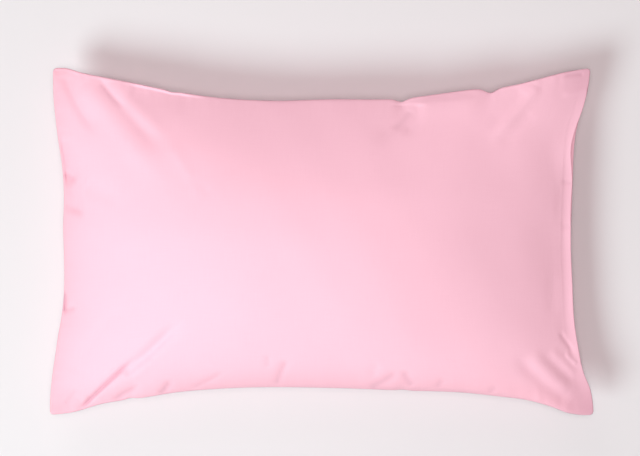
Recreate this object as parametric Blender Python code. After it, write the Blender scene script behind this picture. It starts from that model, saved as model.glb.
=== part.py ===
"""A filled pillowcase of the housewife kind, lying on its back.

The front cloth, closed round its filling, is one crowned solid. The back cloth is a thin sheet
that follows the underside from seam to seam and rests on the floor. The closed end is at -X and
the mouth at +X, where the front's folded edge lies flat on the back's hem.

A place on the cloth is (s, t): s runs from the closed end (0) to the mouth (1), and t from the
near long side at -Y (0) to the far one at +Y (1). Sizes and tables are in millimetres, and the
meshes are in metres, with the origin on the floor under the middle of the case.
"""

from collections import namedtuple

import bmesh
import bpy
import numpy as np

MM = 0.001

# Driving sizes
NEAR_LENGTH = 741.6  # corner tip to corner tip along the near long side
FAR_LENGTH = 733.6  # the same along the far long side
WIDTH = 473.3  # corner tip to corner tip along an end
TIP_RADIUS = 6.0  # rounding of each corner tip, seen from above
CLOTH = 1.5  # thickness of a layer
GAP = 0.3  # between the front's underside and the back
LIP = 16.0  # flat band along the mouth, outside the filling
NEAR_SEAM = 70.0  # seam above the floor, halfway along the near long side
FAR_SEAM = 76.0  # halfway along the far long side
CLOSED_SEAM = 60.0  # halfway along the closed end
MOUTH_SEAM = 55.0  # halfway along the mouth
TIP_HEIGHT = 58.0  # corner tip above the floor
SEAM_LEVEL = 3  # how far along a side the seam keeps its height: more is further
FRONT_RISE = 77.0  # crown of the front above the seam
BACK_DROP = 100.0  # how far the filling would push the back below the seam with no floor there
FLOOR_EASE = 20.0  # how softly the back bends up where it leaves the floor
RIM = 5.0  # along the seam the layers lie level over this width

# How full each face is: a higher power is flatter in the middle, and lower powers at the first
# and the last side make it steeper there
Fullness = namedtuple("Fullness", "power first last")
FRONT_ALONG = Fullness(2.30, 1.15, 1.05)
FRONT_ACROSS = Fullness(2.00, 0.70, 1.0)
BACK_ALONG = Fullness(4.2, 0.85, 0.85)
BACK_ACROSS = Fullness(2.6, 0.75, 0.75)
END_SHIFT = 0.10  # how far the filling sits towards the closed end, as a share of half the length
SIDE_SHIFT = 0.10  # and towards the near long side, as a share of half the width

# How far each side draws in from the straight line between its corner tips
Draw = namedtuple("Draw", "share inset")
NEAR_SIDE = (
    Draw(0.000, 0.0),
    Draw(0.045, 4.5),
    Draw(0.090, 14.5),
    Draw(0.178, 25.0),
    Draw(0.233, 31.7),
    Draw(0.313, 36.8),
    Draw(0.533, 37.7),
    Draw(0.643, 34.5),
    Draw(0.763, 31.2),
    Draw(0.827, 25.9),
    Draw(0.876, 21.0),
    Draw(0.926, 10.3),
    Draw(0.950, 3.4),
    Draw(0.975, 0.3),
    Draw(1.000, 0.0),
)
FAR_SIDE = (
    Draw(0.000, 0.0),
    Draw(0.025, 0.4),
    Draw(0.053, 6.4),
    Draw(0.095, 12.9),
    Draw(0.160, 22.6),
    Draw(0.221, 32.0),
    Draw(0.312, 41.8),
    Draw(0.401, 45.6),
    Draw(0.514, 43.8),
    Draw(0.660, 42.0),
    Draw(0.715, 36.6),
    Draw(0.778, 30.3),
    Draw(0.829, 27.6),
    Draw(0.862, 23.1),
    Draw(0.898, 16.3),
    Draw(0.953, 5.6),
    Draw(1.000, 0.0),
)
CLOSED_END = (
    Draw(0.000, 0.0),
    Draw(0.045, 0.2),
    Draw(0.108, 2.6),
    Draw(0.174, 6.9),
    Draw(0.223, 10.0),
    Draw(0.285, 15.0),
    Draw(0.372, 18.2),
    Draw(0.461, 17.6),
    Draw(0.539, 16.2),
    Draw(0.634, 16.8),
    Draw(0.734, 12.9),
    Draw(0.786, 8.7),
    Draw(0.850, 4.6),
    Draw(0.907, 1.6),
    Draw(1.000, 0.0),
)
MOUTH = (
    Draw(0.000, 0.0),
    Draw(0.043, 1.4),
    Draw(0.075, 4.2),
    Draw(0.118, 12.2),
    Draw(0.196, 19.9),
    Draw(0.288, 25.6),
    Draw(0.368, 26.9),
    Draw(0.512, 28.6),
    Draw(0.596, 27.2),
    Draw(0.665, 25.7),
    Draw(0.740, 24.1),
    Draw(0.783, 22.6),
    Draw(0.840, 17.8),
    Draw(0.886, 10.4),
    Draw(0.932, 4.6),
    Draw(1.000, 0.0),
)

# The front's folded edge stops short of the back's hem here, so the hem shows past it
HEM_SHOWS = Draw(0.765, 5.5)
HEM_SHOWS_HALF_WIDTH = 30.0

# Places where a long side is gathered in a little further
Pucker = namedtuple("Pucker", "share inset half_width")
FAR_PUCKERS = (
    Pucker(0.222, 1.6, 7.0),
    Pucker(0.647, 4.6, 9.0),
    Pucker(0.812, 6.0, 10.0),
)
NEAR_PUCKERS = (
    Pucker(0.150, 2.0, 8.0),
    Pucker(0.648, 1.2, 9.0),
)
PUCKER_REACH = 14.0

# Where the front stands full right beside a side, so that it rises steeply from the seam. The
# middle is a place along the side, the root is the width it rises over, and the reach how far in
# it lasts
Puff = namedtuple("Puff", "middle half_width height root reach")
NEAR_PUFF = Puff(560.0, 130.0, 6.0, 5.0, 60.0)
LIP_RISE = 3.0  # how far the lip's root lies above its edge
LIP_REACH = 90.0  # how far in past the root this lasts

# The front's main folds, each from its start by the seam to its end, seen from above. A height
# over nothing is a ridge, and one under it a trough
Fold = namedtuple("Fold", "start middle end left right height")
FOLDS = (
    # far corner of the closed end
    Fold((-350, 228), (-330, 185), (-300, 143), 14, 9, -3.0),
    Fold((-323, 214), (-277, 156), (-204, 70), 15, 15, 2.2),
    Fold((-300, 218), (-264, 178), (-206, 114), 9, 9, -2.5),
    Fold((-287, 217), (-249, 176), (-200, 135), 10, 9, 2.0),
    # closed end
    Fold((-352, 141), (-344, 111), (-332, 80), 9, 9, -3.0),
    Fold((-344, 89), (-336, 63), (-333, 35), 9, 9, -3.0),
    # near corner of the closed end
    Fold((-326, -226), (-294, -194), (-261, -166), 9, 9, -5.0),
    Fold((-272, -173), (-240, -149), (-192, -100), 9, 9, -2.5),
    Fold((-312, -215), (-272, -189), (-216, -149), 9, 10, 3.0),
    Fold((-329, -216), (-299, -184), (-243, -133), 12, 9, 1.5),
    # along the near side
    Fold((-277, -215), (-260, -199), (-232, -186), 9, 9, -3.0),
    Fold((-61, -197), (-54, -169), (-45, -150), 9, 9, -3.0),
    Fold((63, -199), (85, -186), (104, -170), 9, 9, -3.0),
    Fold((104, -170), (114, -184), (122, -199), 9, 9, -3.0),
    # near corner of the mouth
    Fold((338, -219), (296, -188), (259, -150), 9, 9, -2.5),
    Fold((337, -202), (302, -170), (282, -146), 9, 9, 2.0),
    Fold((342, -190), (318, -169), (298, -151), 9, 9, -1.5),
    # far corner of the mouth
    Fold((291, 212), (267, 179), (222, 132), 9, 9, 2.0),
    Fold((276, 204), (252, 178), (220, 152), 9, 9, -1.5),
    # along the far side, between its two puckers
    Fold((112, 187), (101, 163), (65, 129), 11, 11, -2.0),
    Fold((122, 183), (173, 187), (225, 193), 9, 9, 2.8),
)
FOLD_STEPS = 24
FOLD_FADE = 0.3  # share of a fold's length over which it dies away at its inner end
FOLD_GROWTH = 0.2  # and over which it grows at its outer end
FOLD_LEAST = 0.3  # how far grown it starts, as a share of that growth
SEAM_HOLD = 9.0  # a fold fades out over this width at the seam

# Cells of the cloth's grid, and how far they crowd towards the seams (0 even, 1 most)
CELLS_ALONG = 30
CELLS_ACROSS = 21
CROWDING = 0.75

PINK = (0.86, 0.56, 0.66, 1.0)
CLOTH_ROUGHNESS = 0.85
SHARP_DEGREES = 50  # edges that turn more than this are drawn sharp


def clear_scene():
    for old in list(bpy.data.objects):
        bpy.data.objects.remove(old)


def through_rows(rows, place):
    """The second column at each place in the first, on a smooth curve through the rows."""
    at, value = np.array(rows, float).T
    slope = np.gradient(value, at)
    row = np.clip(np.searchsorted(at, place, side="right") - 1, 0, len(at) - 2)
    step = at[row + 1] - at[row]
    u = (place - at[row]) / step
    leaving = (1 + 2 * u) * (1 - u) ** 2 * value[row] + u * (1 - u) ** 2 * step * slope[row]
    reaching = u**2 * (3 - 2 * u) * value[row + 1] + u**2 * (u - 1) * step * slope[row + 1]
    return leaving + reaching


def smooth_step(value):
    u = np.clip(value, 0.0, 1.0)
    return u * u * (3 - 2 * u)


def bell(distance, half_width):
    return np.exp(-((distance / half_width) ** 2))


def gathered(puckers, s, from_side):
    """How far a long side's puckers pull in a point that lies from_side away from the side."""
    pull = sum(p.inset * bell((s - p.share) * NEAR_LENGTH, p.half_width) for p in puckers)
    return pull * np.exp(-from_side / PUCKER_REACH)


def round_tips(s, t):
    """Moves places near a corner tip on to a round one."""
    x = s * NEAR_LENGTH
    y = t * WIDTH
    in_x = np.maximum(TIP_RADIUS - np.minimum(x, NEAR_LENGTH - x), 0.0)
    in_y = np.maximum(TIP_RADIUS - np.minimum(y, WIDTH - y), 0.0)
    shrink = 1 - np.maximum(in_x, in_y) / np.maximum(np.hypot(in_x, in_y), 1e-9)
    x = x + np.where(s < 0.5, 1, -1) * in_x * shrink
    y = y + np.where(t < 0.5, 1, -1) * in_y * shrink
    return x / NEAR_LENGTH, y / WIDTH


def plan(s, t):
    """Where a place on the cloth lies, seen from above."""
    s, t = round_tips(s, t)
    length = NEAR_LENGTH * (1 - t) + FAR_LENGTH * t
    x = (s - 0.5) * length
    x = x + (1 - s) * through_rows(CLOSED_END, t) - s * through_rows(MOUTH, t)
    y = (t - 0.5) * WIDTH
    y = y + (1 - t) * through_rows(NEAR_SIDE, s) - t * through_rows(FAR_SIDE, s)
    y = y + gathered(NEAR_PUCKERS, s, t * WIDTH) - gathered(FAR_PUCKERS, s, (1 - t) * WIDTH)
    return x, y


def swelling(s, t, along, across):
    """The filling's push at a place, from 1 in the middle to 0 at the seams and the lip's root."""
    root = 1 - LIP / NEAR_LENGTH
    r = np.clip(2 * s / root - 1, -1, 1)
    r = r + END_SHIFT * (1 - r**2)
    q = np.clip(2 * t - 1, -1, 1)
    q = q + SIDE_SHIFT * (1 - q**2)
    end = along.first * (1 - s) + along.last * s
    side = across.first * (1 - t) + across.last * t
    return (1 - np.abs(r) ** along.power) ** end * (1 - np.abs(q) ** across.power) ** side


def seam_height(s, t):
    """The seam's height, carried into the case from its sides."""
    along = 1 - np.abs(2 * s - 1) ** SEAM_LEVEL
    across = 1 - np.abs(2 * t - 1) ** SEAM_LEVEL
    on_long_sides = NEAR_SEAM * (1 - t) + FAR_SEAM * t - TIP_HEIGHT
    on_ends = CLOSED_SEAM * (1 - s) + MOUTH_SEAM * s - TIP_HEIGHT
    return TIP_HEIGHT + along * on_long_sides + (1 - along) * across * on_ends


def puffed(puff, place, from_side):
    """What a puff adds at a place along its side, from_side away from it."""
    height = puff.height * bell(place - puff.middle, puff.half_width)
    return height * (1 - np.exp(-from_side / puff.root)) * np.exp(-from_side / puff.reach)


def fullness_by_sides(s, t):
    """What the near side's puff and the slope of the lip add to the front."""
    inward = (1 - s) * NEAR_LENGTH
    on_lip = np.clip(inward / LIP, 0, 1)
    at_lip = LIP_RISE * on_lip**2 * bell(np.maximum(inward - LIP, 0), LIP_REACH)
    return at_lip + puffed(NEAR_PUFF, s * NEAR_LENGTH, t * WIDTH)


def from_seam(s, t):
    return np.minimum(
        np.minimum(s, 1 - s) * NEAR_LENGTH,
        np.minimum(t, 1 - t) * WIDTH,
    )


def on_floor(height):
    """The height, bent softly to nothing where it would be under the floor."""
    eased = np.clip(height + FLOOR_EASE, 0, None) ** 2 / (4 * FLOOR_EASE)
    return np.where(height > FLOOR_EASE, height, eased)


def back_middle(s, t):
    """The middle of the back cloth's thickness."""
    x, y = plan(s, t)
    seam = seam_height(s, t) - (GAP + CLOTH) / 2
    z = seam - BACK_DROP * swelling(s, t, BACK_ALONG, BACK_ACROSS)
    return np.stack([x, y, CLOTH / 2 + on_floor(z - CLOTH / 2)], axis=-1)


def back_normal(s, t):
    """Out of the back's upper face: square to the cloth, and turned half upright at the seam."""
    reach = 1e-3
    along = back_middle(np.minimum(s + reach, 1), t) - back_middle(np.maximum(s - reach, 0), t)
    across = back_middle(s, np.minimum(t + reach, 1)) - back_middle(s, np.maximum(t - reach, 0))
    square = np.cross(along, across)
    square /= np.linalg.norm(square, axis=-1, keepdims=True)
    upright = 0.5 * (1 - smooth_step(from_seam(s, t) / RIM))[..., None]
    normal = (1 - upright) * square + upright * np.array((0.0, 0.0, 1.0))
    return normal / np.linalg.norm(normal, axis=-1, keepdims=True)


def spine_of(fold):
    """Points along the smooth curve through a fold's start, middle and end."""
    u = np.linspace(0, 1, FOLD_STEPS)[:, None]
    start, middle, end = (np.array(p, float) for p in (fold.start, fold.middle, fold.end))
    pull = 2 * middle - (start + end) / 2
    return (1 - u) ** 2 * start + 2 * u * (1 - u) * pull + u**2 * end


def fold_height(fold, x, y):
    """What one fold adds at (x, y)."""
    spine = spine_of(fold)
    step = np.diff(spine, axis=0)
    offset = np.stack([x, y], axis=-1)[:, None, :] - spine[:-1]
    share = np.clip((offset * step).sum(axis=-1) / (step**2).sum(axis=-1), 0, 1)
    away = offset - share[..., None] * step
    distance = np.linalg.norm(away, axis=-1)
    nearest = np.argmin(distance, axis=-1)
    at = np.arange(len(nearest)), nearest
    side = step[nearest, 0] * away[at][:, 1] - step[nearest, 1] * away[at][:, 0]
    along = (nearest + share[at]) / len(step)
    fade = smooth_step(along / FOLD_GROWTH + FOLD_LEAST) * smooth_step((1 - along) / FOLD_FADE)
    return fold.height * fade * bell(distance[at], np.where(side > 0, fold.left, fold.right))


def front_top(s, t):
    """The front cloth's outer face."""
    x, y = plan(s, t)
    z = seam_height(s, t) + GAP / 2 + CLOTH
    z = z + FRONT_RISE * swelling(s, t, FRONT_ALONG, FRONT_ACROSS) + fullness_by_sides(s, t)
    hold = smooth_step(from_seam(s, t) / SEAM_HOLD)
    z = z + hold * sum(fold_height(fold, x, y) for fold in FOLDS)
    return np.stack([x, y, z], axis=-1)


def short_of_hem(s, t):
    """Places of the front, drawn in along the mouth where the back's hem shows past it."""
    root = 1 - LIP / NEAR_LENGTH
    on_lip = np.clip((s - root) / (1 - root), 0, 1)
    away = (t - HEM_SHOWS.share) * WIDTH
    return s - on_lip * HEM_SHOWS.inset / NEAR_LENGTH * bell(away, HEM_SHOWS_HALF_WIDTH)


def crowd(u):
    """Spreads evenly spaced places so that more of them lie near the seams."""
    return u - CROWDING * np.sin(2 * np.pi * u) / (2 * np.pi)


def split_towards_tips(bm):
    """Cuts each cell of a grid about the origin in two, along the way to the nearest corner."""
    ways = {"FIXED": [], "ALTERNATE": []}
    for face in bm.faces:
        middle = face.calc_center_median()
        ways["FIXED" if middle.x * middle.y > 0 else "ALTERNATE"].append(face)
    for method, faces in ways.items():
        bmesh.ops.triangulate(bm, faces=faces, quad_method=method)


def cloth_slab(finer_top):
    """A closed slab over the unit square, in triangles, from z 0 to z 1."""
    bm = bmesh.new()
    bmesh.ops.create_grid(bm, x_segments=CELLS_ALONG, y_segments=CELLS_ACROSS, size=0.5)
    split_towards_tips(bm)
    bmesh.ops.translate(bm, verts=bm.verts[:], vec=(0.5, 0.5, 0.0))
    raised = bmesh.ops.extrude_face_region(bm, geom=bm.faces[:], use_keep_orig=True)
    top = [item for item in raised["geom"] if isinstance(item, bmesh.types.BMVert)]
    bmesh.ops.translate(bm, verts=top, vec=(0.0, 0.0, 1.0))
    if finer_top:
        edges = [e for e in bm.edges if all(v.co.z > 0.5 for v in e.verts)]
        bmesh.ops.subdivide_edges(bm, edges=edges, cuts=1, use_grid_fill=True)
    bmesh.ops.recalc_face_normals(bm, faces=bm.faces[:])
    return bm


def shape_slab(name, bm, lower, upper):
    """Makes an object of a slab, its two faces moved to where lower and upper put them."""
    flat = np.array([v.co for v in bm.verts])
    s = crowd(np.clip(flat[:, 0], 0, 1))
    t = crowd(np.clip(flat[:, 1], 0, 1))
    is_top = flat[:, 2:] > 0.5
    points = np.where(is_top, upper(s, t), lower(s, t)) * MM
    for vert, point in zip(bm.verts, points):
        vert.co = point
    mesh = bpy.data.meshes.new(name)
    bm.to_mesh(mesh)
    bm.free()
    mesh.shade_smooth()
    mesh.set_sharp_from_angle(angle=np.radians(SHARP_DEGREES))
    return bpy.data.objects.new(name, mesh)


def make_front_filled():
    """The front cloth with its filling, down to just above the back."""

    def underside(s, t):
        s = short_of_hem(s, t)
        return back_middle(s, t) + back_normal(s, t) * (CLOTH / 2 + GAP)

    def outside(s, t):
        return front_top(short_of_hem(s, t), t)

    return shape_slab("front_filled", cloth_slab(finer_top=True), underside, outside)


def make_back_panel():
    """The back cloth, a sheet of one thickness with its hem at the mouth."""

    def outer_face(s, t):
        return back_middle(s, t) - back_normal(s, t) * CLOTH / 2

    def inner_face(s, t):
        return back_middle(s, t) + back_normal(s, t) * CLOTH / 2

    return shape_slab("back_panel", cloth_slab(finer_top=False), outer_face, inner_face)


def cotton(name, colour):
    material = bpy.data.materials.new(name)
    material.use_nodes = True
    shader = material.node_tree.nodes["Principled BSDF"]
    shader.inputs["Base Color"].default_value = colour
    shader.inputs["Roughness"].default_value = CLOTH_ROUGHNESS
    shader.inputs["Metallic"].default_value = 0.0
    return material


def main():
    clear_scene()
    case = bpy.data.collections.new("filled_pillowcase")
    bpy.context.scene.collection.children.link(case)
    front = make_front_filled()
    front.data.materials.append(cotton("front_cotton", PINK))
    back = make_back_panel()
    back.data.materials.append(cotton("back_cotton", PINK))
    case.objects.link(front)
    case.objects.link(back)


main()
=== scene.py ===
"""The looks of a filled pillowcase that lies on its back, seen from straight above.

The front cloth, closed round its filling, is one padded piece. The back cloth is a sheet under it.
A place on the cloth is (s, t): s runs from the closed end (0) at -X to the mouth (1) at +X, and t
from the near long side (0) at -Y to the far one (1) at +Y. Tables and sizes are in millimetres.
"""

from collections import namedtuple

import bmesh
import bpy
import numpy as np
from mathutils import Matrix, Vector


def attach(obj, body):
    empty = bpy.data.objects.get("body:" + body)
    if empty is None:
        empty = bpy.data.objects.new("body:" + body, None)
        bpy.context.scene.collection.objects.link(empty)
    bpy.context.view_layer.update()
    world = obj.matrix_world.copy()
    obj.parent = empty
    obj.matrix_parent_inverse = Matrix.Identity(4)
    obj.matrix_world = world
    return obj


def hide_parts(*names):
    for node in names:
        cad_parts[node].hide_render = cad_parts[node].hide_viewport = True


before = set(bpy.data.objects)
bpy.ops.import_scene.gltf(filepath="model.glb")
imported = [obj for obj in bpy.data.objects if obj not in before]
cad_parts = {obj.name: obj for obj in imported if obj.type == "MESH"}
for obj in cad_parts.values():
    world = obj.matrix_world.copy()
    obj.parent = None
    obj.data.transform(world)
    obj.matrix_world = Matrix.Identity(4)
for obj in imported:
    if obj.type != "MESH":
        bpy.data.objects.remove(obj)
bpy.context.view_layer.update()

MM = 0.001  # in metres
TINY = 1e-9  # keeps a division from being by nothing

# The solids' driving sizes
NEAR_LENGTH = 741.6  # corner tip to corner tip along the near long side
FAR_LENGTH = 733.6  # the same along the far long side
WIDTH = 473.3  # corner tip to corner tip along an end
TIP_RADIUS = 6.0  # rounding of each corner tip, seen from above
CLOTH = 1.5  # thickness of a layer
GAP = 0.3  # between the front's underside and the back
LIP = 16.0  # flat band along the mouth, outside the filling
NEAR_SEAM = 70.0  # seam above the floor, halfway along the near long side
FAR_SEAM = 76.0  # halfway along the far long side
CLOSED_SEAM = 60.0  # halfway along the closed end
MOUTH_SEAM = 55.0  # halfway along the mouth
TIP_HEIGHT = 58.0  # corner tip above the floor
SEAM_LEVEL = 3  # how far along a side the seam keeps its height: more is further
FRONT_RISE = 77.0  # crown of the front above the seam
BACK_DROP = 100.0  # how far the filling would push the back below the seam with no floor there
FLOOR_EASE = 20.0  # how softly the back bends up where it leaves the floor
RIM = 5.0  # along the seam the layers lie level over this width
UPRIGHT = 0.5  # how far the back's inner face is turned level there
SLOPE_STEP = 0.001  # share of a side over which the back's slope is read

# How full each face is: a higher power is flatter in the middle, and lower powers at the first
# and the last side make it steeper there
Fullness = namedtuple("Fullness", "power first last")
FRONT_ALONG = Fullness(2.30, 1.15, 1.05)
FRONT_ACROSS = Fullness(2.00, 0.70, 1.0)
BACK_ALONG = Fullness(4.2, 0.85, 0.85)
BACK_ACROSS = Fullness(2.6, 0.75, 0.75)
END_SHIFT = 0.10  # how far the filling sits towards the closed end, as a share of half the length
SIDE_SHIFT = 0.10  # and towards the near long side, as a share of half the width

# How far each side draws in from the straight line between its corner tips
Draw = namedtuple("Draw", "share inset")
NEAR_SIDE = (
    Draw(0.000, 0.0),
    Draw(0.045, 4.5),
    Draw(0.090, 14.5),
    Draw(0.178, 25.0),
    Draw(0.233, 31.7),
    Draw(0.313, 36.8),
    Draw(0.533, 37.7),
    Draw(0.643, 34.5),
    Draw(0.763, 31.2),
    Draw(0.827, 25.9),
    Draw(0.876, 21.0),
    Draw(0.926, 10.3),
    Draw(0.950, 3.4),
    Draw(0.975, 0.3),
    Draw(1.000, 0.0),
)
FAR_SIDE = (
    Draw(0.000, 0.0),
    Draw(0.025, 0.4),
    Draw(0.053, 6.4),
    Draw(0.095, 12.9),
    Draw(0.160, 22.6),
    Draw(0.221, 32.0),
    Draw(0.312, 41.8),
    Draw(0.401, 45.6),
    Draw(0.514, 43.8),
    Draw(0.660, 42.0),
    Draw(0.715, 36.6),
    Draw(0.778, 30.3),
    Draw(0.829, 27.6),
    Draw(0.862, 23.1),
    Draw(0.898, 16.3),
    Draw(0.953, 5.6),
    Draw(1.000, 0.0),
)
CLOSED_END = (
    Draw(0.000, 0.0),
    Draw(0.045, 0.2),
    Draw(0.108, 2.6),
    Draw(0.174, 6.9),
    Draw(0.223, 10.0),
    Draw(0.285, 15.0),
    Draw(0.372, 18.2),
    Draw(0.461, 17.6),
    Draw(0.539, 16.2),
    Draw(0.634, 16.8),
    Draw(0.734, 12.9),
    Draw(0.786, 8.7),
    Draw(0.850, 4.6),
    Draw(0.907, 1.6),
    Draw(1.000, 0.0),
)
MOUTH = (
    Draw(0.000, 0.0),
    Draw(0.043, 1.4),
    Draw(0.075, 4.2),
    Draw(0.118, 12.2),
    Draw(0.196, 19.9),
    Draw(0.288, 25.6),
    Draw(0.368, 26.9),
    Draw(0.512, 28.6),
    Draw(0.596, 27.2),
    Draw(0.665, 25.7),
    Draw(0.740, 24.1),
    Draw(0.783, 22.6),
    Draw(0.840, 17.8),
    Draw(0.886, 10.4),
    Draw(0.932, 4.6),
    Draw(1.000, 0.0),
)

# The front's folded edge stops short of the back's hem here, so the hem shows past it
Pucker = namedtuple("Pucker", "share inset half_width")
HEM_SHOWS = (
    Pucker(0.765, 5.5, 30.0),
    Pucker(0.590, 1.6, 34.0),
)

# Places where a long side is gathered in a little further
FAR_PUCKERS = (
    Pucker(0.222, 1.6, 7.0),
    Pucker(0.647, 4.6, 9.0),
    Pucker(0.812, 6.0, 10.0),
)
NEAR_PUCKERS = (
    Pucker(0.150, 2.0, 8.0),
    Pucker(0.648, 1.2, 9.0),
)
PUCKER_REACH = 14.0  # how far in from the side this fades

# Where the front stands full right beside a side, so that it rises steeply from the seam. The
# middle is a place along the side, the root is the width it rises over, and the reach how far in
# it lasts
Puff = namedtuple("Puff", "middle half_width height root reach")
NEAR_PUFF = Puff(560.0, 130.0, 6.0, 5.0, 60.0)
LIP_RISE = 2.4  # how far the lip's root lies above its edge
LIP_CURVE = 3  # how flat the lip lies before it rises: more is flatter
LIP_REACH = 90.0  # how far in past the root this lasts

# Where the front's folded edge has lifted off the back's hem
Lift = namedtuple("Lift", "share half_width height")
LIFTS = (
    Lift(0.765, 26.0, 4.0),
    Lift(0.540, 22.0, 1.6),
    Lift(0.330, 30.0, 1.0),
)
LIFT_REACH = 40.0  # how far in from the edge the lift has come to nothing

# The front's folds, each from its start to its end, seen from above, with a half width on either
# side of its line. A height over nothing is a ridge, and one under it a trough
Fold = namedtuple("Fold", "start middle end left right height")
FOLDS = (
    # far corner of the closed end
    Fold((-350, 228), (-330, 185), (-300, 143), 14, 8, -2.8),
    Fold((-323, 214), (-277, 156), (-204, 70), 15, 15, 2.2),
    Fold((-300, 218), (-264, 178), (-206, 114), 11, 9, -1.9),
    Fold((-300, 218), (-283, 196), (-264, 178), 4, 4, -1.0),
    Fold((-287, 217), (-249, 176), (-200, 135), 12, 10, 1.5),
    Fold((-203, 132), (-177, 89), (-156, 59), 10, 8, 0.9),
    Fold((-175, 83), (-161, 73), (-145, 62), 8, 8, -0.7),
    Fold((-262, 209), (-214, 199), (-150, 188), 22, 24, -2.4),
    # closed end
    Fold((-352, 141), (-344, 111), (-332, 80), 9, 9, -3.0),
    Fold((-344, 89), (-336, 63), (-333, 35), 9, 8, -3.0),
    Fold((-351, 50), (-336, 42), (-316, 37), 6, 6.5, -1.4),
    Fold((-351, 93), (-344, 88), (-331, 83), 5, 6, -2.4),
    Fold((-319, 79), (-299, 67), (-269, 57), 12, 12, -1.5),
    Fold((-352, -96), (-342, -92), (-331, -89), 4, 4, -1.5),
    Fold((-351, -96), (-350, -80), (-351, -62), 3, 3, -4.0),
    # near corner of the closed end
    Fold((-326, -226), (-291, -192), (-245, -152), 3.2, 2.8, -4.0),
    Fold((-266, -180), (-230, -147), (-182, -101), 8, 7, -5.5),
    Fold((-312, -215), (-272, -189), (-216, -149), 9, 10, 3.0),
    Fold((-329, -216), (-299, -184), (-243, -133), 12, 7, 1.5),
    Fold((-336, -178), (-313, -138), (-251, -68), 9, 9, -1.2),
    Fold((-349, -221), (-340, -209), (-331, -196), 3.5, 3.5, -0.8),
    # along the near side
    Fold((-283, -217), (-266, -204), (-242, -193), 4, 6, -2.0),
    Fold((-220, -206), (-211, -197), (-203, -183), 4, 6, -2.0),
    Fold((-176, -198), (-152, -186), (-128, -172), 4, 4, -1.2),
    Fold((-61, -195), (-54, -172), (-45, -156), 5, 5, -1.7),
    Fold((-73, -168), (-73, -158), (-73, -149), 4, 4, -0.8),
    Fold((63, -199), (85, -186), (104, -172), 6, 6, -1.6),
    Fold((122, -195), (115, -184), (108, -170), 6, 6, -1.7),
    Fold((74, -180), (70, -172), (79, -161), 7, 7, -1.0),
    Fold((157, -197), (159, -191), (166, -183), 5.5, 5.5, -1.1),
    Fold((229, -205), (231, -201), (238, -192), 5.5, 5.5, -1.1),
    # near corner of the mouth
    Fold((338, -219), (296, -188), (259, -150), 10, 9, -2.1),
    Fold((337, -202), (302, -170), (282, -146), 10, 9, 1.5),
    Fold((342, -190), (318, -169), (298, -151), 6.6, 6.6, -0.7),
    Fold((346, -182), (326, -161), (309, -144), 6, 6, 1.0),
    Fold((343, -151), (331, -134), (322, -122), 3.5, 3.5, -1.1),
    Fold((348, -167), (339, -159), (332, -150), 3.5, 3.5, 1.2),
    # far corner of the mouth
    Fold((291, 212), (267, 179), (222, 132), 8, 8, 2.0),
    Fold((276, 204), (252, 178), (220, 152), 9, 9, -1.2),
    Fold((285, 175), (262, 150), (236, 126), 9, 9, -0.8),
    Fold((357, 228), (342, 227), (323, 223), 3, 3, -0.9),
    Fold((365, 207), (346, 204), (324, 197), 5, 5, 1.0),
    # along the far side, by its two puckers nearer the mouth
    Fold((112, 187), (101, 163), (65, 129), 11, 11, -2.0),
    Fold((132, 187), (124, 164), (106, 142), 9, 8, -1.9),
    Fold((120, 178), (108, 161), (92, 148), 6.5, 6.5, -1.2),
    Fold((126, 184), (173, 188), (225, 193), 9, 20, 2.3),
    # mouth
    Fold((344, 80), (336, 81), (324, 82), 3, 3, -1.0),
    Fold((342, 20), (335, 20), (324, 18), 3, 3, -1.0),
    Fold((313, -46), (313, -75), (313, -105), 9, 9, -0.6),
)
FOLD_STEPS = 24  # points along a fold's line
FOLD_FADE = 0.3  # share of a fold's length over which it dies away at its inner end
FOLD_GROWTH = 0.2  # and over which it grows at its outer end
FOLD_LEAST = 0.3  # how far grown it starts, as a share of that growth
FOLD_REACH = 3.0  # half widths at which a fold's cross-section has come to nothing
SEAM_HOLD = 6.0  # a fold fades out over this width at the seam
MOUTH_HOLD = 2.0  # and over this one at the mouth, which isn't sewn
BACK_SEAM_HOLD = 14.0  # and the back's folds and crimps over this one

ROLL = 1.2  # radius of a layer's rounded edge
SEAM_ROLL = 2.6  # radius over which the front turns down at the sewn sides
SEAM_LIFT = 1.5  # how much thicker the front is there, from the seam's turned-in edges
SEAM_LIFT_REACH = 70.0  # how far past the lip's root this has come in full

# A trough no wider than this, both half widths together, is a pinched crease, darkened with
# painted shade
PINCHED = 13.0
PINCH_SHADE_SHARE = 0.25  # how much painted shade it gets for each millimetre of its depth

# Waves of the filled cloth and short ones where a seam's stitches draw it in, each a sum of sines
Waves = namedtuple("Waves", "count shortest longest height seed")
ROLLING = Waves(16, 60.0, 160.0, 0.10, 7)
CRIMPS = Waves(9, 9.0, 30.0, 0.13, 11)
BACK_CRIMPS = Waves(9, 12.0, 45.0, 0.45, 23)
CRIMP_REACH = 11.0  # how far in from the seam the crimps fade
BACK_CRIMP_REACH = 38.0  # and the back's

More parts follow.
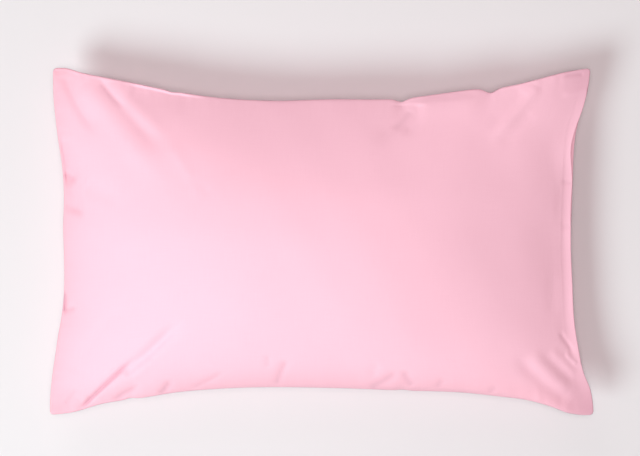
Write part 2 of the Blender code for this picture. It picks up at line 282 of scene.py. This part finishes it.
# The back's folds, which run in from its corner tips
BACK_FOLDS = (
    Fold((-340, 222), (-300, 176), (-262, 136), 13, 10, 4.0),
    Fold((-318, 222), (-262, 185), (-205, 160), 11, 14, -4.0),
    Fold((-342, 196), (-318, 150), (-305, 98), 11, 11, -3.5),
    Fold((-343, -222), (-302, -180), (-255, -140), 10, 13, 4.0),
    Fold((-316, -224), (-262, -190), (-190, -168), 12, 12, -3.5),
    Fold((-340, -196), (-318, -145), (-300, -100), 12, 9, -3.0),
    Fold((345, -220), (300, -180), (262, -140), 12, 12, 3.5),
    Fold((316, -220), (268, -186), (215, -165), 11, 13, -4.0),
    Fold((345, 222), (306, 182), (270, 142), 11, 12, 4.0),
    Fold((318, 218), (270, 188), (210, 160), 12, 10, -3.5),
    Fold((60, -196), (48, -170), (30, -140), 9, 9, -2.5),
    Fold((-80, 190), (-92, 165), (-96, 138), 9, 10, -2.5),
)

# Cells of the cloth's grid, and how far they crowd towards the seams (0 even, 1 most)
CELLS_ALONG = 116
CELLS_ACROSS = 74
TOP_CUTS = 2  # how often each cell of the front's outer face is cut again
CROWDING = 0.75

# Looks
CLOTH_UV = "cloth"  # a place on the cloth, in metres from the near corner of the closed end
BARE_AND_SHADE = "bare_and_shade"  # the attributes for the bare look with painted shade along the edges, and for painted shade in creases and at the mouth's tips
PAINTED_SHADE = "painted_shade"
FILLED_PINK = (0.952, 0.561, 0.666, 1.0)  # over the white filling
BARE_AND_SHADED_PINK = (0.881, 0.462, 0.542, 1.0)  # where no filling shows through the thin cotton, darkened further as painted shade along the edges
BARE_AND_SHADE_REACH = 22.0  # how far in from the closed end the cloth looks bare, with painted shade
BARE_AND_SHADE_TIP = 42.0  # and how far round a corner tip
BARE_AND_SHADE_END_SHARE = 0.9  # how bare and shaded it looks right at that end
SIDE_SHADE_REACH = 30.0  # how far in from the near long side the painted shade reaches
SIDE_SHADE_FIRST = 0.4  # how strong this painted shade is by the closed end, and by the mouth
SIDE_SHADE_LAST = 0.8
PAINTED_SHADE_PINK = (0.652, 0.356, 0.436, 1.0)  # painted shade in pinched creases and at the mouth's corner tips
PAINTED_SHADE_TIP = 45.0  # how far this painted shade reaches round a corner tip at the mouth
PAINTED_SHADE_TIP_SHARE = 0.8  # how strong the painted shade is right at the tip
PALE_PATCH = (1.0, 0.62, 0.71, 1.0)  # the dye's paler patches
PATCH_SCALE = (14.0, 17.0, 1.0)  # how many there are to the metre, along, across and through
PATCH_DETAIL = 2.0
PATCH_SHARE = 0.16  # how strongly they show
DEEP_THREAD = (0.80, 0.36, 0.47, 1.0)  # thicker threads take more dye
WARP_SLUB_SCALE = (1400.0, 30.0, 1.0)
WEFT_SLUB_SCALE = (30.0, 1400.0, 1.0)
SLUB_DETAIL = 1.0
SLUB_SHARE = 0.30
SLUB_RISE = 0.8  # how far a thick thread stands up, as a share of the weave's height
THREAD = 0.0003  # from one thread to the next, in metres
THREAD_RISE = 0.00005  # how far one stands up
WEAVE_STRENGTH = 0.5
COTTON_ROUGHNESS = 0.8
COTTON_SHINE = 0.15
SHEEN = 0.02
SHEEN_ROUGHNESS = 0.5

# A Mix node's sockets for its two colours, and for the colour that comes out
MIX_FIRST, MIX_SECOND, MIX_RESULT = 6, 7, 2

# The floor, its sizes in metres
FLOOR_WHITE = (0.740, 0.715, 0.724, 1.0)
FLOOR_ROUGHNESS = 0.9
FLOOR_SHINE = 0.1
FLOOR_HALF = 6.0  # half its width
FLOOR_CELLS = 8  # along each side of its grid
FLOOR_DROP = 0.0003  # how far it lies under the cloth

# The light comes softly from beyond the near corner of the closed end. Weaker lamps hang overhead
# and beyond the far side. Angles in degrees, the width of a lamp's disk and its distance in metres
COOL_LIGHT = (0.79, 0.954, 0.955)
WARM_LIGHT = (1.0, 0.879, 0.882)
Lamp = namedtuple("Lamp", "name azimuth elevation size watts colour")
LAMPS = (
    Lamp("key", 221.0, 44.0, 1.9, 120.0, COOL_LIGHT),
    Lamp("top", 0.0, 90.0, 1.2, 75.0, WARM_LIGHT),
    Lamp("far_fill", 110.0, 35.0, 2.5, 19.0, WARM_LIGHT),
)
LAMP_DISTANCE = 4.0
WORLD_STRENGTH = 0.23

# The camera, which looks straight down and sees as much as CAMERA_SPAN at CAMERA_FAR under it
CAMERA_PLACE = (-2.5, 18.4, 2566.0)
CAMERA_SPAN = 870.4
CAMERA_FAR = 2500.0
SENSOR = 36.0


def through_rows(rows, place):
    """The second column at each place in the first, on a smooth curve through the rows."""
    at, value = np.array(rows, float).T
    slope = np.gradient(value, at)
    row = np.clip(np.searchsorted(at, place, side="right") - 1, 0, len(at) - 2)
    step = at[row + 1] - at[row]
    u = (place - at[row]) / step
    leaving = (1 + 2 * u) * (1 - u) ** 2 * value[row] + u * (1 - u) ** 2 * step * slope[row]
    reaching = u**2 * (3 - 2 * u) * value[row + 1] + u**2 * (u - 1) * step * slope[row + 1]
    return leaving + reaching


def smooth_step(value):
    u = np.clip(value, 0.0, 1.0)
    return u * u * (3 - 2 * u)


def bell(distance, half_width):
    return np.exp(-((distance / half_width) ** 2))


def gathered(puckers, s, from_side):
    """How far a long side's puckers pull in a point that lies from_side away from the side."""
    pull = sum(p.inset * bell((s - p.share) * NEAR_LENGTH, p.half_width) for p in puckers)
    return pull * np.exp(-from_side / PUCKER_REACH)


def round_tips(s, t):
    """Moves places near a corner tip on to a round one."""
    x = s * NEAR_LENGTH
    y = t * WIDTH
    in_x = np.maximum(TIP_RADIUS - np.minimum(x, NEAR_LENGTH - x), 0.0)
    in_y = np.maximum(TIP_RADIUS - np.minimum(y, WIDTH - y), 0.0)
    shrink = 1 - np.maximum(in_x, in_y) / np.maximum(np.hypot(in_x, in_y), TINY)
    x = x + np.where(s < 0.5, 1, -1) * in_x * shrink
    y = y + np.where(t < 0.5, 1, -1) * in_y * shrink
    return x / NEAR_LENGTH, y / WIDTH


def plan(s, t):
    """Where a place on the cloth lies, seen from above."""
    s, t = round_tips(s, t)
    length = NEAR_LENGTH * (1 - t) + FAR_LENGTH * t
    x = (s - 0.5) * length
    x = x + (1 - s) * through_rows(CLOSED_END, t) - s * through_rows(MOUTH, t)
    y = (t - 0.5) * WIDTH
    y = y + (1 - t) * through_rows(NEAR_SIDE, s) - t * through_rows(FAR_SIDE, s)
    y = y + gathered(NEAR_PUCKERS, s, t * WIDTH) - gathered(FAR_PUCKERS, s, (1 - t) * WIDTH)
    return x, y


def swelling(s, t, along, across):
    """The filling's push at a place, from 1 in the middle to 0 at the seams and the lip's root."""
    root = 1 - LIP / NEAR_LENGTH
    r = np.clip(2 * s / root - 1, -1, 1)
    r = r + END_SHIFT * (1 - r**2)
    q = np.clip(2 * t - 1, -1, 1)
    q = q + SIDE_SHIFT * (1 - q**2)
    end = along.first * (1 - s) + along.last * s
    side = across.first * (1 - t) + across.last * t
    return (1 - np.abs(r) ** along.power) ** end * (1 - np.abs(q) ** across.power) ** side


def seam_height(s, t):
    """The seam's height, carried into the case from its sides."""
    along = 1 - np.abs(2 * s - 1) ** SEAM_LEVEL
    across = 1 - np.abs(2 * t - 1) ** SEAM_LEVEL
    on_long_sides = NEAR_SEAM * (1 - t) + FAR_SEAM * t - TIP_HEIGHT
    on_ends = CLOSED_SEAM * (1 - s) + MOUTH_SEAM * s - TIP_HEIGHT
    return TIP_HEIGHT + along * on_long_sides + (1 - along) * across * on_ends


def puffed(puff, place, from_side):
    """What a puff adds at a place along its side, from_side away from it."""
    height = puff.height * bell(place - puff.middle, puff.half_width)
    return height * (1 - np.exp(-from_side / puff.root)) * np.exp(-from_side / puff.reach)


def fullness_by_sides(s, t):
    """What the near side's puff and the slope of the lip add to the front."""
    inward = (1 - s) * NEAR_LENGTH
    on_lip = np.clip(inward / LIP, 0, 1)
    at_lip = LIP_RISE * on_lip**LIP_CURVE * bell(np.maximum(inward - LIP, 0), LIP_REACH)
    at_lip = at_lip * (1 - (2 * t - 1) ** 2)
    return at_lip + puffed(NEAR_PUFF, s * NEAR_LENGTH, t * WIDTH)


def lifted_lip(s, t):
    """How far the front's folded edge stands off the back's hem."""
    towards_edge = np.clip(1 - (1 - s) * NEAR_LENGTH / LIFT_REACH, 0, 1)
    height = sum(lift.height * bell((t - lift.share) * WIDTH, lift.half_width) for lift in LIFTS)
    return towards_edge**2 * height


def from_seam(s, t):
    return np.minimum(
        np.minimum(s, 1 - s) * NEAR_LENGTH,
        np.minimum(t, 1 - t) * WIDTH,
    )


def on_floor(height):
    """The height, bent softly to nothing where it would be under the floor."""
    eased = np.clip(height + FLOOR_EASE, 0, None) ** 2 / (4 * FLOOR_EASE)
    return np.where(height > FLOOR_EASE, height, eased)


def summed_sines(waves, x, y=0.0):
    """Waves of even height from a fixed seed, along a line, or crossing where y is given."""
    dice = np.random.default_rng(waves.seed)
    total = 0.0
    for _ in range(waves.count):
        turn, start = dice.uniform(0, np.pi), dice.uniform(0, 2 * np.pi)
        length = dice.uniform(waves.shortest, waves.longest)
        ahead = x if np.isscalar(y) else x * np.cos(turn) + y * np.sin(turn)
        total = total + waves.height * np.sin(2 * np.pi * ahead / length + start)
    return total


def crimped(waves, s, t, reach):
    """Short waves along the three sewn sides that fade inwards."""
    x = s * NEAR_LENGTH
    y = t * WIDTH
    by_side = np.exp(-np.minimum(y, WIDTH - y) / reach)
    by_end = np.exp(-x / reach)
    along_far = summed_sines(waves, x + WIDTH)
    along_near = summed_sines(waves, x)
    on_sides = np.where(t > 0.5, along_far, along_near) * by_side
    return on_sides + summed_sines(waves, -y) * by_end


def back_middle(s, t):
    """The middle of the back cloth's thickness."""
    x, y = plan(s, t)
    seam = seam_height(s, t) - (GAP + CLOTH) / 2
    z = seam - BACK_DROP * swelling(s, t, BACK_ALONG, BACK_ACROSS)
    hold = smooth_step(from_seam(s, t) / BACK_SEAM_HOLD)
    z = z + hold * crimped(BACK_CRIMPS, s, t, BACK_CRIMP_REACH)
    z = z + hold * sum(fold_height(fold, x, y) for fold in BACK_FOLDS)
    return np.stack([x, y, CLOTH / 2 + on_floor(z - CLOTH / 2)], axis=-1)


def back_normal(s, t):
    """Out of the back's upper face: square to the cloth, and turned half upright at the seam."""
    ahead, behind = (np.clip(s + step, 0, 1) for step in (SLOPE_STEP, -SLOPE_STEP))
    along = back_middle(ahead, t) - back_middle(behind, t)
    ahead, behind = (np.clip(t + step, 0, 1) for step in (SLOPE_STEP, -SLOPE_STEP))
    across = back_middle(s, ahead) - back_middle(s, behind)
    square = np.cross(along, across)
    square /= np.linalg.norm(square, axis=-1, keepdims=True)
    upright = UPRIGHT * (1 - smooth_step(from_seam(s, t) / RIM))[..., None]
    normal = (1 - upright) * square + upright * np.array((0.0, 0.0, 1.0))
    return normal / np.linalg.norm(normal, axis=-1, keepdims=True)


def spine_of(fold):
    """Points along the smooth curve through a fold's start, middle and end."""
    u = np.linspace(0, 1, FOLD_STEPS)[:, None]
    start, middle, end = (np.array(p, float) for p in (fold.start, fold.middle, fold.end))
    pull = 2 * middle - (start + end) / 2
    return (1 - u) ** 2 * start + 2 * u * (1 - u) * pull + u**2 * end


def fold_height(fold, x, y):
    """What one fold adds at (x, y)."""
    spine = spine_of(fold)
    reach = FOLD_REACH * max(fold.left, fold.right)
    place = np.stack([x, y], axis=-1)
    close = np.all((place > spine.min(0) - reach) & (place < spine.max(0) + reach), axis=-1)
    step = np.diff(spine, axis=0)
    offset = place[close][:, None, :] - spine[:-1]
    share = np.clip((offset * step).sum(axis=-1) / (step**2).sum(axis=-1), 0, 1)
    away = offset - share[..., None] * step
    distance = np.linalg.norm(away, axis=-1)
    nearest = np.argmin(distance, axis=-1)
    at = np.arange(len(nearest)), nearest
    side = step[nearest, 0] * away[at][:, 1] - step[nearest, 1] * away[at][:, 0]
    along = (nearest + share[at]) / len(step)
    fade = smooth_step(along / FOLD_GROWTH + FOLD_LEAST) * smooth_step((1 - along) / FOLD_FADE)
    height = np.zeros(len(x))
    section = bell(distance[at], np.where(side > 0, fold.left, fold.right))
    height[close] = fold.height * fade * section
    return height


def rolled_edge(away, radius=ROLL):
    """How far a layer's outer face has dropped this close to its edge."""
    short = np.clip(radius - away, 0, radius)
    return radius - np.sqrt(radius**2 - short**2)


def front_top(s, t):
    """The front cloth's outer face."""
    x, y = plan(s, t)
    away = from_seam(s, t)
    z = seam_height(s, t) + GAP / 2 + CLOTH
    z = z + FRONT_RISE * swelling(s, t, FRONT_ALONG, FRONT_ACROSS) + fullness_by_sides(s, t)
    inward = (1 - s) * NEAR_LENGTH - LIP
    sewn = smooth_step(inward / LIP)
    hold = smooth_step(away / (MOUTH_HOLD + (SEAM_HOLD - MOUTH_HOLD) * sewn))
    z = z + hold * sum(fold_height(fold, x, y) for fold in FOLDS)
    z = z + hold * sewn * (summed_sines(ROLLING, x, y) + crimped(CRIMPS, s, t, CRIMP_REACH))
    z = z + lifted_lip(s, t) + SEAM_LIFT * smooth_step(inward / SEAM_LIFT_REACH)
    z = z - rolled_edge(away, ROLL + (SEAM_ROLL - ROLL) * sewn)
    return np.stack([x, y, z], axis=-1)


def short_of_hem(s, t):
    """Places of the front, drawn in along the mouth where the back's hem shows past it."""
    root = 1 - LIP / NEAR_LENGTH
    on_lip = np.clip((s - root) / (1 - root), 0, 1)
    inset = sum(p.inset * bell((t - p.share) * WIDTH, p.half_width) for p in HEM_SHOWS)
    return s - on_lip * inset / NEAR_LENGTH


def crowd(u):
    """Spreads evenly spaced places so that more of them lie near the seams."""
    return u - CROWDING * np.sin(2 * np.pi * u) / (2 * np.pi)


def from_tip(s, t):
    x = s * NEAR_LENGTH
    y = t * WIDTH
    return np.hypot(np.minimum(x, NEAR_LENGTH - x), np.minimum(y, WIDTH - y))


def bare_and_shade_share(s, t):
    """Bare cloth's deeper pink and painted shade by the closed end, its tips and the near side: 0
    to 1.
    """
    at_end = BARE_AND_SHADE_END_SHARE * np.exp(-s * NEAR_LENGTH / BARE_AND_SHADE_REACH)
    at_tip = np.where(s < 0.5, bell(from_tip(s, t), BARE_AND_SHADE_TIP), 0)
    at_side = (SIDE_SHADE_FIRST * (1 - s) + SIDE_SHADE_LAST * s) * bell(t * WIDTH, SIDE_SHADE_REACH)
    return 1 - (1 - np.maximum(at_end, at_tip)) * (1 - at_side)


def painted_shade_share(s, t):
    """Painted shade in pinched creases and at the mouth's corner tips: 0 for none, more where
    darker.
    """
    at_tip = np.where(s < 0.5, 0, PAINTED_SHADE_TIP_SHARE * bell(from_tip(s, t), PAINTED_SHADE_TIP))
    pinched = [fold for fold in FOLDS if fold.height < 0 and fold.left + fold.right <= PINCHED]
    depth = sum(fold_height(fold, *plan(s, t)) ** 2 / -fold.height for fold in pinched)
    return at_tip + PINCH_SHADE_SHARE * depth


def cloth_slab(top_cuts):
    """A closed slab over the unit square, from z 0 to z 1, its top's cells cut again."""
    bm = bmesh.new()
    bmesh.ops.create_grid(bm, x_segments=CELLS_ALONG, y_segments=CELLS_ACROSS, size=0.5)
    bmesh.ops.translate(bm, verts=bm.verts[:], vec=(0.5, 0.5, 0.0))
    raised = bmesh.ops.extrude_face_region(bm, geom=bm.faces[:], use_keep_orig=True)
    top = [item for item in raised["geom"] if isinstance(item, bmesh.types.BMVert)]
    bmesh.ops.translate(bm, verts=top, vec=(0.0, 0.0, 1.0))
    if top_cuts:
        edges = [e for e in bm.edges if all(v.co.z > 0.5 for v in e.verts)]
        bmesh.ops.subdivide_edges(bm, edges=edges, cuts=top_cuts, use_grid_fill=True)
    bmesh.ops.recalc_face_normals(bm, faces=bm.faces[:])
    return bm


def shape_slab(name, bm, lower, upper):
    """Makes an object of a slab, its two faces moved to where lower and upper put them."""
    mesh = bpy.data.meshes.new(name)
    bm.to_mesh(mesh)
    bm.free()
    flat = np.empty(len(mesh.vertices) * 3, np.float32)
    mesh.vertices.foreach_get("co", flat)
    flat = flat.reshape(-1, 3).astype(float)
    s = crowd(np.clip(flat[:, 0], 0, 1))
    t = crowd(np.clip(flat[:, 1], 0, 1))
    points = np.empty((len(flat), 3))
    is_top = flat[:, 2] > 0.5
    points[is_top] = upper(s[is_top], t[is_top])
    points[~is_top] = lower(s[~is_top], t[~is_top])
    mesh.vertices.foreach_set("co", (points * MM).astype(np.float32).ravel())
    corner = np.empty(len(mesh.loops), np.int32)
    mesh.loops.foreach_get("vertex_index", corner)
    uv = np.stack([s * NEAR_LENGTH, t * WIDTH], axis=-1)[corner] * MM
    layer = mesh.uv_layers.new(name=CLOTH_UV)
    layer.data.foreach_set("uv", uv.astype(np.float32).ravel())
    # Painted shade: along the edges with the bare look, and in creases and at the mouth's tips
    for attribute, share in ((BARE_AND_SHADE, bare_and_shade_share(s, t)), (PAINTED_SHADE, painted_shade_share(s, t))):
        stored = mesh.attributes.new(attribute, "FLOAT", "POINT")
        stored.data.foreach_set("value", share.astype(np.float32))
    mesh.shade_smooth()
    mesh.update()
    piece = bpy.data.objects.new(name, mesh)
    bpy.context.scene.collection.objects.link(piece)
    return piece


def make_front():
    """The front cloth with its filling, down to just above the back."""

    def underside(s, t):
        s = short_of_hem(s, t)
        lower = back_middle(s, t) + back_normal(s, t) * (CLOTH / 2 + GAP)
        lower[:, 2] += lifted_lip(s, t)
        return lower

    def outside(s, t):
        return front_top(short_of_hem(s, t), t)

    return shape_slab("front_cloth", cloth_slab(TOP_CUTS), underside, outside)


def make_back():
    """The back cloth, a sheet of one thickness with its hem at the mouth."""

    def outer_face(s, t):
        drop = CLOTH / 2 - rolled_edge(from_seam(s, t))
        return back_middle(s, t) - back_normal(s, t) * drop[..., None]

    def inner_face(s, t):
        return back_middle(s, t) + back_normal(s, t) * CLOTH / 2

    return shape_slab("back_cloth", cloth_slab(0), outer_face, inner_face)


class Nodes:
    """Short ways to add and link a material's nodes."""

    def __init__(self, tree):
        self.tree = tree

    def feed(self, socket, value):
        if isinstance(value, bpy.types.NodeSocket):
            self.tree.links.new(value, socket)
        else:
            socket.default_value = value

    def add(self, kind, **settings):
        node = self.tree.nodes.new(kind)
        for setting, value in settings.items():
            setattr(node, setting, value)
        return node

    def math(self, operation, first, second=0.0, third=0.0):
        node = self.add("ShaderNodeMath", operation=operation)
        for socket, value in zip(node.inputs, (first, second, third)):
            self.feed(socket, value)
        return node.outputs[0]

    def blend(self, share, first, second):
        node = self.add("ShaderNodeMix", data_type="RGBA")
        self.feed(node.inputs["Factor"], share)
        self.feed(node.inputs[MIX_FIRST], first)
        self.feed(node.inputs[MIX_SECOND], second)
        return node.outputs[MIX_RESULT]

    def noise(self, place, scale, detail):
        """Uneven spots, more to the metre with a higher scale along x, y and z."""
        mapping = self.add("ShaderNodeMapping")
        self.feed(mapping.inputs["Vector"], place)
        self.feed(mapping.inputs["Scale"], scale)
        spots = self.add("ShaderNodeTexNoise")
        self.feed(spots.inputs["Vector"], mapping.outputs[0])
        self.feed(spots.inputs["Scale"], 1.0)
        self.feed(spots.inputs["Detail"], detail)
        return spots.outputs[0]


def plain_weave(nodes, place):
    """The height of crossing threads, from 0 to 1: each goes over one and under the next."""
    split = nodes.add("ShaderNodeSeparateXYZ")
    nodes.feed(split.inputs[0], place)
    turns = [nodes.math("MULTIPLY", split.outputs[axis], np.pi / THREAD) for axis in (0, 1)]
    wave_x, wave_y = (nodes.math("SINE", turn) for turn in turns)
    over = nodes.math("MULTIPLY_ADD", nodes.math("MULTIPLY", wave_x, wave_y), 0.5, 0.5)
    under = nodes.math("SUBTRACT", 1.0, over)
    warp = nodes.math("MULTIPLY", nodes.math("MULTIPLY", wave_x, wave_x), over)
    weft = nodes.math("MULTIPLY", nodes.math("MULTIPLY", wave_y, wave_y), under)
    return nodes.math("ADD", warp, weft)


def cotton(name):
    """Fine plain-woven cotton: uneven dye, painted shade, a faint sheen and a weave of crossing
    threads.
    """
    material = bpy.data.materials.new(name)
    material.use_nodes = True
    nodes = Nodes(material.node_tree)
    shader = material.node_tree.nodes["Principled BSDF"]
    place = nodes.add("ShaderNodeUVMap", uv_map=CLOTH_UV).outputs[0]
    bare_and_shade = nodes.add("ShaderNodeAttribute", attribute_name=BARE_AND_SHADE).outputs["Fac"]
    painted_shade = nodes.add("ShaderNodeAttribute", attribute_name=PAINTED_SHADE).outputs["Fac"]
    # Bare cloth with painted shade along the edges, then painted shade in creases and at the
    # mouth's tips
    dye_and_shade = nodes.blend(bare_and_shade, FILLED_PINK, BARE_AND_SHADED_PINK)
    dye_and_shade = nodes.blend(painted_shade, dye_and_shade, PAINTED_SHADE_PINK)
    patches = nodes.noise(place, PATCH_SCALE, PATCH_DETAIL)
    dye_and_shade = nodes.blend(nodes.math("MULTIPLY", patches, PATCH_SHARE), dye_and_shade, PALE_PATCH)
    warp_slubs = nodes.noise(place, WARP_SLUB_SCALE, SLUB_DETAIL)
    weft_slubs = nodes.noise(place, WEFT_SLUB_SCALE, SLUB_DETAIL)
    slubs = nodes.math("MULTIPLY", warp_slubs, weft_slubs)
    dye_and_shade = nodes.blend(nodes.math("MULTIPLY", slubs, SLUB_SHARE), dye_and_shade, DEEP_THREAD)
    nodes.feed(shader.inputs["Base Color"], dye_and_shade)
    bump = nodes.add("ShaderNodeBump")
    threads = nodes.math("MULTIPLY_ADD", slubs, SLUB_RISE, plain_weave(nodes, place))
    nodes.feed(bump.inputs["Height"], threads)
    nodes.feed(bump.inputs["Distance"], THREAD_RISE)
    nodes.feed(bump.inputs["Strength"], WEAVE_STRENGTH)
    nodes.feed(shader.inputs["Normal"], bump.outputs[0])
    shader.inputs["Roughness"].default_value = COTTON_ROUGHNESS
    shader.inputs["Metallic"].default_value = 0.0
    shader.inputs["Specular IOR Level"].default_value = COTTON_SHINE
    shader.inputs["Sheen Weight"].default_value = SHEEN
    shader.inputs["Sheen Roughness"].default_value = SHEEN_ROUGHNESS
    return material


def aim(thing, place, target):
    thing.location = place
    thing.rotation_euler = (Vector(target) - Vector(place)).to_track_quat("-Z", "Y").to_euler()


def make_floor():
    mesh = bpy.data.meshes.new("floor")
    bm = bmesh.new()
    bmesh.ops.create_grid(bm, x_segments=FLOOR_CELLS, y_segments=FLOOR_CELLS, size=FLOOR_HALF)
    bmesh.ops.translate(bm, verts=bm.verts[:], vec=(0, 0, -FLOOR_DROP))
    bm.to_mesh(mesh)
    bm.free()
    floor = bpy.data.objects.new("floor", mesh)
    bpy.context.scene.collection.objects.link(floor)
    material = bpy.data.materials.new("floor_paper")
    material.use_nodes = True
    shader = material.node_tree.nodes["Principled BSDF"]
    shader.inputs["Base Color"].default_value = FLOOR_WHITE
    shader.inputs["Roughness"].default_value = FLOOR_ROUGHNESS
    shader.inputs["Specular IOR Level"].default_value = FLOOR_SHINE
    mesh.materials.append(material)


def make_lights():
    for lamp in LAMPS:
        turn, lift = np.radians([lamp.azimuth, lamp.elevation])
        flat = np.cos(lift)
        way = np.array([np.cos(turn) * flat, np.sin(turn) * flat, np.sin(lift)])
        data = bpy.data.lights.new(lamp.name, "AREA")
        data.shape = "DISK"
        data.size = lamp.size
        data.energy = lamp.watts
        data.color = lamp.colour
        light = bpy.data.objects.new(lamp.name, data)
        bpy.context.scene.collection.objects.link(light)
        aim(light, way * LAMP_DISTANCE, (0, 0, 0))
    world = bpy.data.worlds.new("studio")
    world.use_nodes = True
    world.node_tree.nodes["Background"].inputs["Color"].default_value = (*WARM_LIGHT, 1.0)
    world.node_tree.nodes["Background"].inputs["Strength"].default_value = WORLD_STRENGTH
    bpy.context.scene.world = world


def make_camera():
    data = bpy.data.cameras.new("camera")
    data.sensor_width = SENSOR
    data.lens = SENSOR * CAMERA_FAR / CAMERA_SPAN
    camera = bpy.data.objects.new("camera", data)
    camera.location = Vector(CAMERA_PLACE) * MM
    bpy.context.scene.collection.objects.link(camera)
    bpy.context.scene.camera = camera


make_camera()
make_floor()
make_lights()
bpy.context.scene.view_settings.view_transform = "Standard"

front = make_front()
front.data.materials.append(cotton("front_cotton"))
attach(front, "root")
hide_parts("front_filled")

back = make_back()
back.data.materials.append(cotton("back_cotton"))
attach(back, "root")
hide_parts("back_panel")
